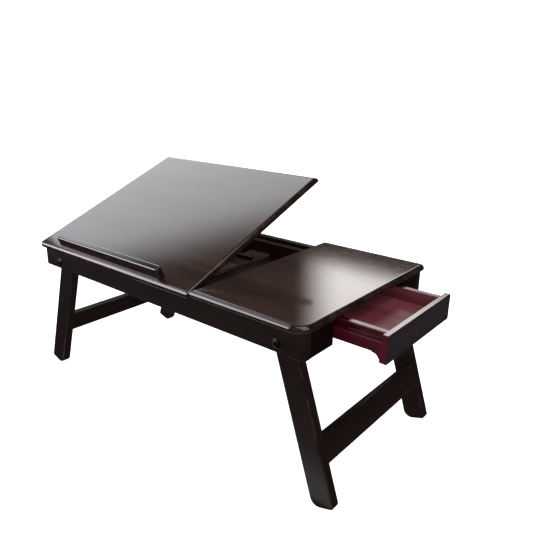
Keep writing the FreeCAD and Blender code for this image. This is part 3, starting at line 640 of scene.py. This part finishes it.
def standing(place, at, towards):
    # a matrix that stands a part's own Z along the direction, at a point of the turned frame
    up = Vector(towards).to_track_quat("Z", "X").to_matrix().to_4x4()
    return place @ Matrix.Translation(at) @ up

# turned frames: the tilted panel about its hinge, and each leg about its pivot

restTilt = math.radians(-joints["panel_tilt"]["range_deg"][0])
hinge = Vector(joints["panel_tilt"]["pos_m"])
pivots = {side: Vector(joints[side + "_leg_fold"]["pos_m"]) for side in ("right", "left")}
flat = Matrix.Identity(4)
tiltPlace = Matrix.Translation(hinge) @ Matrix.Rotation(restTilt, 4, "X") @ Matrix.Translation(-hinge)
legPlaces = {}
for side, turnSign in (("right", -1), ("left", 1)):
    legPlaces[side] = Matrix.Translation(pivots[side]) @ Matrix.Rotation(turnSign * splay, 4, "Y")

# table top

topSizes = dict(nosing=0.0060, under=0.0025, nosingSteps=8, gapEdge=0.0009, fixedCorners=(0.022, 0.008),
                tiltCorners=(0.008, 0.008), cornerSteps=14, toneDeep=0.0002, toneSpan=0.0006, leaf=0.001,
                bedCorner=0.00005, knucklePocket=0.0024, pocketSides=40, pocketEnd=0.0003, past=0.002)
# the ledge's tone mark covers the whole ledge, so all of it takes the darker colour that paints shade on the
# panels' edges
ledgeSizes = dict(foot=0.0004, edge=0.0025, endSteps=6, cornerSteps=7, tone=("Z", 0, 0.001))

def makePanel(name, node, place, corners, gapOnRight):
    # square at the gap between the panels, and a darker copy of the stain covers all that lies below the top
    # face: painted shade on the nosing, ends and underside
    size = topSizes
    x, y, z = localBox(node, place)
    front, back = corners
    gap = size["gapEdge"]
    radii = (front, gap, gap, back) if gapOnRight else (gap, front, back, gap)
    edges = (size["under"], size["nosing"])
    stations = roundedStations(rectangle(x, y, radii), z[0], z[1], edges, size["nosingSteps"])
    edgeTone = ("Z", z[1] - size["toneDeep"], -size["toneSpan"])
    return loftPiece(name, stations, "Z", place, size["cornerSteps"], edgeTone)

def hingeSpans(node, place):
    # the two hinges' limits along X
    x = (nodePoints(node) @ np.array(place.to_3x3()))[:, 0]
    middle = (x.min() + x.max()) / 2
    return (x.min(), x[x < middle].max()), (x[x > middle].min(), x.max())

def cutForHinges(panel):
    # a shallow bed for each leaf and a round channel for its knuckles
    size = topSizes
    under = localBox("tilting_top_panel", tiltPlace)[2][0]
    leafEnd = localBox("hinge_panel_leaves", tiltPlace)[1][1]
    for low, high in hingeSpans("hinge_panel_leaves", tiltPlace):
        x = (low - size["pocketEnd"], high + size["pocketEnd"])
        bed = rectangle((hinge.y, leafEnd), (under - size["past"], under + size["leaf"]), size["bedCorner"])
        carve(panel, loftPiece("bed", [(level, bed, 0, 0) for level in x], "X", tiltPlace, 1))
        profile = [(size["knucklePocket"], level, "round") for level in x[::-1]]
        axis = tiltPlace @ Matrix.Translation((0, hinge.y, hinge.z)) @ Matrix.Rotation(math.pi / 2, 4, "Y")
        carve(panel, makeMesh("channel", *turnedParts(profile, [axis], size["pocketSides"])))

def makeTop():
    fixed = makePanel("fixedTop", "fixed_top_panel", flat, topSizes["fixedCorners"], False)
    dress(fixed, "topX", "table_frame", "top_wood", "fixed_top_panel")
    tilting = makePanel("tiltingTop", "tilting_top_panel", tiltPlace, topSizes["tiltCorners"], True)
    cutForHinges(tilting)
    dress(tilting, "topTilt", "tilting_panel", "top_wood", "tilting_top_panel")

def makeLedge():
    size = ledgeSizes
    x, y, z = localBox("book_ledge", tiltPlace)
    outline = rectangle(y, z, (size["foot"], size["foot"], size["edge"], size["edge"]))
    stations = roundedStations(outline, x[0], x[1], size["edge"], size["endSteps"])
    ledge = loftPiece("bookLedge", stations, "X", tiltPlace, size["cornerSteps"], size["tone"])
    dress(ledge, "topTilt", "tilting_panel", "top_wood", "book_ledge")

makeTop()
makeLedge()

# legs and stretchers

legSizes = dict(heel=0.012, toe=0.0035, crownShare=0.999, edge=0.0020, edgeSteps=5, cornerSteps=12,
                nutCorner=0.0074, nutDeep=0.006, nutSides=48)
stretcherSizes = dict(edge=0.002, cornerSteps=4, tenon=0.003, tenonEdge=0.001, tenonSteps=2)

def makeLeg(side, end, finish):
    size, place, way = legSizes, legPlaces[side], (1 if side == "right" else -1)
    node = side + "_" + end + "_leg"
    x, y, z = localBox(node, place)
    half = (x[1] - x[0]) / 2
    outer, inner, crown = way * half, -way * half, half * size["crownShare"]
    corners = [(z[0], outer, size["toe"]), (z[0], inner, size["heel"]), (z[1], inner, crown),
               (z[1], outer, crown)][::way]
    stations = roundedStations(corners, y[0], y[1], size["edge"], size["edgeSteps"])
    leg = loftPiece(node + "Board", stations, "Y", place, size["cornerSteps"])
    # a round recess for the nut, from the inner face outwards
    innerFace, outward = (y[0], 1) if end == "back" else (y[1], -1)
    profile = [(size["nutCorner"], size["nutDeep"], "round"), (size["nutCorner"], -size["nutDeep"], "round")]
    well = standing(place, (0, innerFace, 0), (0, outward, 0))
    carve(leg, makeMesh("well", *turnedParts(profile, [well], size["nutSides"])))
    dress(leg, finish, side + "_leg_frame", "dark_wood", node)

def makeStretcher(side):
    # it ends in short tenons that reach into the legs
    size, place, node = stretcherSizes, legPlaces[side], side + "_leg_stretcher"
    x, y, z = localBox(node, place)
    reach = localBox(side + "_back_leg", place)[1][0] + size["tenon"]
    board = rectangle(z, x, size["edge"])
    stations = roundedStations(board, -reach, reach, size["tenonEdge"], size["tenonSteps"])
    stretcher = loftPiece(node + "Board", stations, "Y", place, size["cornerSteps"])
    dress(stretcher, "frameY", side + "_leg_frame", "dark_wood", node)

for side, finish in (("right", "legRight"), ("left", "legLeft")):
    makeLeg(side, "back", finish)
    makeLeg(side, "front", finish)
    makeStretcher(side)
print("top and legs made")

# frame boards, drawn as cross-sections that run along X or Y

boardSizes = dict(eased=0.0004, outerEdge=0.0015, cornerSteps=5, boardEnd=0.0006, endSteps=3, railSteps=2)
apronSizes = dict(reliefStart=0.0006, reliefSlope=33.0, pocket=0.0024, leaf=0.001, hingeHalf=0.0153,
                  step=0.00003, eased=0.0003, cornerSteps=4, spareCorners=(0.004, 0.0055))

def makeBackApron():
    size = boardSizes
    x, y, z = localBox("back_apron", flat)
    corners = rectangle(y, z, (size["eased"], size["outerEdge"], size["eased"], size["eased"]))
    stations = roundedStations(corners, x[0], x[1], size["boardEnd"], size["endSteps"])
    apron = loftPiece("backApron", stations, "X", flat, size["cornerSteps"])
    dress(apron, "frameX", "table_frame", "dark_wood", "back_apron")

def apronSection(y, z, kind):
    # full at the right, eased below the tilting panel, and let in where a hinge lies
    size = apronSizes
    small, bottom = size["eased"], boardSizes["outerEdge"]
    start = hinge.y + size["reliefStart"]
    slope = math.tan(math.radians(size["reliefSlope"]))
    low = z[1] - (start - y[0]) * slope
    leafTop, pocketY, pocketZ = z[1] - size["leaf"], hinge.y + size["pocket"], hinge.z - size["pocket"]
    pocketOut = start - (z[1] - pocketZ) / slope
    bottomCorners = [(y[0], z[0], bottom), (y[1], z[0], small)]
    if kind == "hinge":
        return bottomCorners + [(y[1], leafTop, small), (pocketY, leafTop, small), (pocketY, pocketZ, small),
                                (pocketOut, pocketZ, small), (y[0], low, small)]
    # spare corners on the flat top, so that every section has as many as the one let in
    across = [(y[1] - spare, z[1], small) for spare in (0, *size["spareCorners"])]
    return bottomCorners + across + [(start, z[1], small), (y[0], low if kind == "eased" else z[1], small)]

def makeFrontApron():
    x, y, z = localBox("front_apron", flat)
    kinds = {kind: apronSection(y, z, kind) for kind in ("full", "eased", "hinge")}
    gap = localBox("fixed_top_panel", flat)[0][0]
    half, step = apronSizes["hingeHalf"], apronSizes["step"]
    stops = [(gap, "eased", "full")]
    for low, high in hingeSpans("hinge_frame_leaves", flat):
        centre = (low + high) / 2
        stops += [(centre - half, "eased", "hinge"), (centre + half, "hinge", "eased")]
    end, endSteps = boardSizes["boardEnd"], boardSizes["endSteps"]
    stations = roundedStations(kinds["eased"], x[0], x[1], end, endSteps)[:endSteps + 1]
    for at, before, after in sorted(stops):
        stations += [(at - step, kinds[before], 0, 0), (at + step, kinds[after], 0, 0)]
    stations += roundedStations(kinds["full"], x[0], x[1], end, endSteps)[endSteps + 1:]
    apron = loftPiece("frontApron", stations, "X", flat, apronSizes["cornerSteps"])
    dress(apron, "frameX", "table_frame", "dark_wood", "front_apron")

def makeEndRails():
    size = boardSizes
    small, outer = size["eased"], size["outerEdge"]
    for node, way in (("left_end_rail", -1), ("right_end_rail_back", 1), ("right_end_rail_front", 1)):
        x, y, z = localBox(node, flat)
        radii = (small, small, small, outer) if way > 0 else (outer, small, small, small)
        stations = roundedStations(rectangle(z, x, radii), y[0], y[1], small, size["railSteps"])
        rail = loftPiece(node + "Board", stations, "Y", flat, size["cornerSteps"])
        dress(rail, "railY", "table_frame", "dark_wood", node)

makeBackApron()
makeFrontApron()
makeEndRails()

# drawer: the faces that look into it have a far lighter copy of the lacquer, which is painted light

# insideTone and bottomTone mark the drawer's inner faces, which take the painted light colours
drawerSizes = dict(frontEdge=0.0013, backEdge=0.0006, frontSteps=(5, 6), faceTone=(0.0011, 0.0004),
                   wall=0.010, flange=0.0147, wallRound=0.0013, stepRound=0.0008, small=0.0004,
                   sideEnds=(0.0005, 0.0001), sideSteps=(2, 6), insideTone=(0.00035, 0.0003),
                   backEnd=0.0001, backSteps=(1, 6), bottomCorner=0.0005, bottomEdge=0.0002,
                   bottomSteps=(2, 3), bottomTone=(0.8, 0.4), coveRadius=0.0106, coveBlend=0.94,
                   coveEnd=0.0005, coveSteps=(3, 10), lipRound=0.0005)

def drawerBoard(name, corners, span, ends, along, steps, zone=None):
    # steps: how many on the rounded ends, and how many on each corner
    stations = roundedStations(corners, span[0], span[1], ends, steps[0])
    return loftPiece(name, stations, along, flat, steps[1], zone)

def makeDrawerFront(size):
    x, y, z = localBox("drawer_front", flat)
    corners = rectangle(y, z, size["frontEdge"])
    ends = (size["backEdge"], size["frontEdge"])
    face = ("X", x[1] - size["faceTone"][0], size["faceTone"][1])
    front = drawerBoard("drawerFront", corners, x, ends, "X", size["frontSteps"], face)
    dress(front, "frontY", "drawer", "dark_wood", "drawer_front")

def makeDrawerBox(size):
    small, wallRound, stepRound = size["small"], size["wallRound"], size["stepRound"]
    toneDeep, toneSpan = size["insideTone"]
    for node, way in (("back_drawer_side", 1), ("front_drawer_side", -1)):
        x, y, z = localBox(node, flat)
        near, far = y[::way]
        wallOut, flangeTop = near + way * size["wall"], z[0] + size["flange"]
        corners = [(near, z[0], small), (far, z[0], stepRound), (far, flangeTop, wallRound),
                   (wallOut, flangeTop, stepRound), (wallOut, z[1], wallRound),
                   (near, z[1], wallRound)][::way]
        # the inner face is marked for the painted light colour
        inside = ("Y", near + way * toneDeep, -way * toneSpan)
        board = drawerBoard(node + "Board", corners, x, size["sideEnds"], "X", size["sideSteps"], inside)
        dress(board, "sideX", "drawer", "burgundy_wood", node)

    x, y, z = localBox("drawer_back", flat)
    corners = [(z[0], x[0], small), (z[1], x[0], wallRound), (z[1], x[1], wallRound), (z[0], x[1], small)]
    # the inner face is marked for the painted light colour
    inside = ("X", x[1] - toneDeep, toneSpan)
    back = drawerBoard("drawerBack", corners, y, size["backEnd"], "Y", size["backSteps"], inside)
    dress(back, "backY", "drawer", "burgundy_wood", "drawer_back")

    x, y, z = localBox("drawer_bottom", flat)
    half = (z[1] - z[0]) / 2
    # the upper face of the bottom is marked for the painted light colour
    upper = ("Z", z[0] + half * size["bottomTone"][0], half * size["bottomTone"][1])
    corners = rectangle(x, y, size["bottomCorner"])
    bottom = drawerBoard("drawerBottom", corners, z, size["bottomEdge"], "Z", size["bottomSteps"], upper)
    dress(bottom, "bottomX", "drawer", "burgundy_wood", "drawer_bottom")

def makeDrawerCove(size):
    # the finger moulding below the front: a quarter hollow between two small lips
    x, y, z = localBox("drawer_cove", flat)
    radius, lip, small = size["coveRadius"], size["lipRound"], size["small"]
    hollow = (z[0] + radius, x[0] + radius, radius * size["coveBlend"])
    corners = [(z[0], x[0] + radius, lip), hollow, (z[0] + radius, x[0], lip), (z[1], x[0], small),
               (z[1], x[1], small), (z[0], x[1], lip)]
    cove = drawerBoard("drawerCove", corners, y, size["coveEnd"], "Y", size["coveSteps"])
    dress(cove, "burgundyY", "drawer", "burgundy_wood", "drawer_cove")

makeDrawerFront(drawerSizes)
makeDrawerBox(drawerSizes)
makeDrawerCove(drawerSizes)
print("frame boards and drawer made")

# bolts with a domed head and a six-sided socket: mouth and lip are shares of the socket's half width,
# domeEnd of the mouth, under of the head, tip of the shank

boltLook = dict(head=0.0065, rim=0.0006, rise=0.0020, domeTurn=(0.12, 1.27), domeRings=10, under=0.97,
                eased=0.0002, socket=0.0020, socketDepth=0.0017, mouth=1.2, domeEnd=1.1, lip=1.06,
                point=0.0003, shank=0.0035, tip=0.9, tipLength=0.0005, sides=48)

def boltProfile(look, length):
    # the dome follows a sphere through its rim and crown: z = rim + sqrt(R^2 - r^2) - (R - rise)
    head, socket, shank, eased, point = (look[key] for key in ("head", "socket", "shank", "eased", "point"))
    sphere = (head ** 2 + look["rise"] ** 2) / (2 * look["rise"])

    def onDome(r):
        return look["rim"] + math.sqrt(sphere ** 2 - r ** 2) - (sphere - look["rise"])

    mouth = socket * look["mouth"]
    radii = head * np.cos(np.linspace(*look["domeTurn"], look["domeRings"]))
    dome = [(r, onDome(r), "round") for r in radii if r > mouth * look["domeEnd"]]
    lip, floor = onDome(mouth), look["rim"] + look["rise"] - look["socketDepth"]
    well = [(socket * look["lip"], lip, "hex"), (socket, lip - eased, "hex"), (socket, floor, "hex"),
            (point, floor - point, "round")]
    stem = [(shank * look["tip"], -length, "round"), (shank, -length + look["tipLength"], "round"),
            (shank, 0, "round"), (head * look["under"], 0, "round"), (head, eased, "round")]
    return (stem + dome + well)[::-1]

def makeBolts(look):
    inner = abs(nodePoints("pivot_bolts")[:, 1]).min()
    faceY = localBox("back_apron", flat)[1][1]
    places = []
    for pivot in pivots.values():
        for way in (1, -1):
            stand = Matrix.Rotation(-way * math.pi / 2, 4, "X")
            places.append(Matrix.Translation((pivot.x, way * faceY, pivot.z)) @ stand)
    bolts = makeMesh("pivotBolts", *turnedParts(boltProfile(look, faceY - inner), places, look["sides"]))
    dress(bolts, "bronze", "table_frame", "bronzed_steel", "pivot_bolts")

# washers: a thin ring in the gap between each leg and its apron

washerLook = dict(hole=0.0037, rim=0.0080, thick=0.0004, eased=0.00008, sides=48)

def makeWashers(look):
    legFace = localBox("right_back_leg", flat)[1][1]
    gap = abs(localBox("back_apron", flat)[1][0]) - legFace
    low, high, ease = (gap - look["thick"]) / 2, (gap + look["thick"]) / 2, look["eased"]
    hole, rim = look["hole"], look["rim"]
    outline = [(hole, low), (hole, high), (rim - ease, high), (rim, high - ease), (rim, low + ease),
               (rim - ease, low)]
    profile = [(radius, height, "round") for radius, height in outline]
    places = [standing(flat, (pivot.x, way * legFace, pivot.z), (0, way, 0))
              for pivot in pivots.values() for way in (1, -1)]
    washers = makeMesh("pivotWashers", *turnedParts(profile, places, look["sides"], True))
    dress(washers, "zinc", "table_frame", "zinc_steel")

# screws with a cross recess: cross, floor and rim are shares of the head, floorCross of the cross

screwLook = dict(small=0.0021, large=0.0028, cross=0.62, floor=0.1, floorCross=0.8, rim=0.96, eased=0.0001,
                 depth=0.0007, proud=0.00003, thick=0.0009, sides=32)
screwPlaces = dict(leafStep=0.0100, leafInset=0.0029, ledgeInset=0.026, bracketInset=0.0040,
                   bracketHalf=0.004, bracketThick=0.002, rail=(0.100, 0.218))

def screwProfile(look, head):
    top, floor, tip = look["proud"], look["proud"] - look["depth"], head * look["cross"]
    return [(head * look["floor"], floor, "round"), (tip * look["floorCross"], floor, "cross"),
            (tip, top, "cross"), (head * look["rim"], top, "round"),
            (head, top - look["eased"], "round"), (head, -look["thick"], "round")]

def makeScrews(kind, name, places, finish, body, slot):
    profile = screwProfile(screwLook, screwLook[kind])
    screws = makeMesh(name, *turnedParts(profile, places, screwLook["sides"]))
    dress(screws, finish, body, slot)

def leafScrews(node, place, level, way):
    # three along each hinge leaf
    step = screwPlaces["leafStep"]
    y = localBox(node, place)[1][1] - screwPlaces["leafInset"]
    return [standing(place, ((low + high) / 2 + shift, y, level), (0, 0, way))
            for low, high in hingeSpans(node, place) for shift in (-step, 0, step)]

def bracketScrews(under):
    # two through the foot of each prop bracket
    half, inset = screwPlaces["bracketHalf"], screwPlaces["bracketInset"]
    x, y, z = localBox("prop_brackets", tiltPlace)
    return [standing(tiltPlace, (across, along, under - screwPlaces["bracketThick"]), (0, 0, -1))
            for across in (x[0] + half, x[1] - half) for along in (y[0] + inset, y[1] - inset)]

def ledgeScrews(under):
    # three through the panel into the ledge
    inset = screwPlaces["ledgeInset"]
    x, y, z = localBox("book_ledge", tiltPlace)
    return [standing(tiltPlace, (across, (y[0] + y[1]) / 2, under), (0, 0, -1))
            for across in (x[0] + inset, (x[0] + x[1]) / 2, x[1] - inset)]

def railScrews():
    # two up through each inner rail into the fixed panel
    boxes = [localBox(node, flat) for node in ("front_inner_rail", "back_inner_rail")]
    return [standing(flat, (across, (y[0] + y[1]) / 2, z[0]), (0, 0, -1))
            for x, y, z in boxes for across in screwPlaces["rail"]]

makeBolts(boltLook)
makeWashers(washerLook)
panelUnder = localBox("tilting_top_panel", tiltPlace)[2][0]
frameTop = localBox("front_apron", flat)[2][1]
frameScrews = leafScrews("hinge_frame_leaves", flat, frameTop, 1)
panelScrews = leafScrews("hinge_panel_leaves", tiltPlace, panelUnder, -1) + bracketScrews(panelUnder)
makeScrews("small", "hingeScrewsFrame", frameScrews, "brass", "table_frame", "brass")
makeScrews("small", "hingeScrewsPanel", panelScrews, "brass", "tilting_panel", "brass")
makeScrews("large", "ledgeScrews", ledgeScrews(panelUnder), "zinc", "tilting_panel", "zinc_steel")
makeScrews("large", "railScrews", railScrews(), "zinc", "table_frame", "zinc_steel")
print("bolts, washers and screws made")

# finishes of the plain pieces that stay as they are

nodeFinishes = dict(
    insideX=("front_inner_rail", "back_inner_rail", "compartment_floor", "back_drawer_spacer",
             "front_drawer_spacer", "back_drawer_bearer", "front_drawer_bearer", "back_drawer_kicker",
             "front_drawer_kicker", "drawer_opening_stop"),
    insideY=("compartment_divider",),
    rackY=("left_tilt_rack", "right_tilt_rack"),
    frameX=("leg_stops", "prop_brackets", "prop_foot_bar", "prop_pivot_rod"),
    frameY=("left_prop_arm", "right_prop_arm"),
    brass=("hinge_frame_leaves", "hinge_panel_leaves", "hinge_pins"),
    zinc=("pivot_nuts",),
)
for finish, nodes in nodeFinishes.items():
    for node in nodes:
        for materialSlot in frame["nodes"][node].material_slots:
            materialSlot.material = finishes[finish]
print("plain pieces finished")
